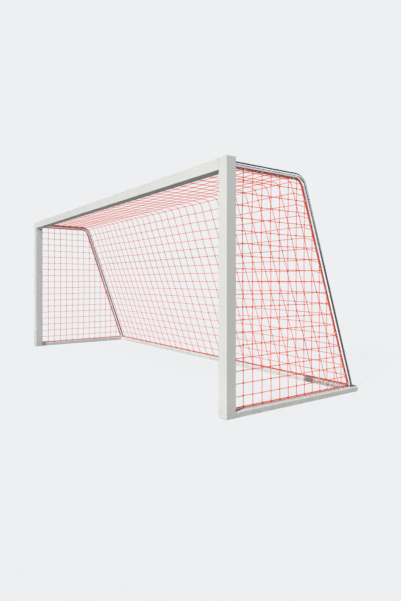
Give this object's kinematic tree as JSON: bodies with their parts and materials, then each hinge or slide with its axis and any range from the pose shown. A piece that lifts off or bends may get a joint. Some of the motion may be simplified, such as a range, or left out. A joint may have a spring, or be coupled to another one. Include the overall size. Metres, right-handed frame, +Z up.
{
  "type": "goal with net",
  "caption": "Free-standing goal with a square-section front frame, bent tube hoops, a flat ground frame and a net fixed with hooks and clips.",
  "frame": {"origin": "on the floor, in the middle of the goal's width and of its depth from the front of the posts to the back of the rear rail", "axes": "+X along the crossbar, from the middle to one post; +Y from the mouth to the back of the net; +Z up"},
  "size_m": [5.2, 1.69, 2.101],
  "materials": {
    "white_frame": "semi-gloss white powder coat",
    "bright_tube": "bright plated tube",
    "cast_metal": "as cast, matte",
    "zinc_steel": "zinc plated",
    "end_plastic": "satin white moulding",
    "foot_plastic": "matte black moulding",
    "hook_plastic": "satin moulding",
    "net_twine": "knotted twine",
    "edge_rope": "twisted rope",
    "label_plate": "plain film"
  },
  "bodies": {
    "root": {"post_left": "white_frame", "post_right": "white_frame", "crossbar": "white_frame", "ground_rail_left": "white_frame", "ground_rail_right": "white_frame", "rear_rail": "white_frame", "net_hoop_left": "bright_tube", "net_hoop_right": "bright_tube", "corner_insert_left": "cast_metal", "corner_insert_right": "cast_metal", "rail_insert_left": "cast_metal", "rail_insert_right": "cast_metal", "rear_insert_left": "cast_metal", "rear_insert_right": "cast_metal", "hoop_top_flange_left": "cast_metal", "hoop_top_flange_right": "cast_metal", "hoop_foot_flange_left": "cast_metal", "hoop_foot_flange_right": "cast_metal", "corner_bolts": "zinc_steel", "rail_bolts": "zinc_steel", "rear_rail_bolts": "zinc_steel", "hoop_top_bolts": "zinc_steel", "hoop_top_nuts": "zinc_steel", "hoop_foot_bolts": "zinc_steel", "hoop_foot_nuts": "zinc_steel", "hoop_set_screws": "zinc_steel", "post_cap_left": "end_plastic", "post_cap_right": "end_plastic", "rail_end_cap_left": "end_plastic", "rail_end_cap_right": "end_plastic", "post_foot_plug_left": "foot_plastic", "post_foot_plug_right": "foot_plastic", "net_hooks_crossbar": "hook_plastic", "net_hooks_post_left": "hook_plastic", "net_hooks_post_right": "hook_plastic", "net_hooks_rail_left": "hook_plastic", "net_hooks_rail_right": "hook_plastic", "net_hooks_rear": "hook_plastic", "hoop_clips_left": "hook_plastic", "hoop_clips_right": "hook_plastic", "net_side_left": "net_twine", "net_side_right": "net_twine", "net_roof_and_back": "net_twine", "net_edge_rope_left": "edge_rope", "net_edge_rope_right": "edge_rope", "net_edge_rope_crossbar": "edge_rope", "net_edge_rope_rear": "edge_rope", "blank_label": "label_plate"}
  },
  "joints": []
}
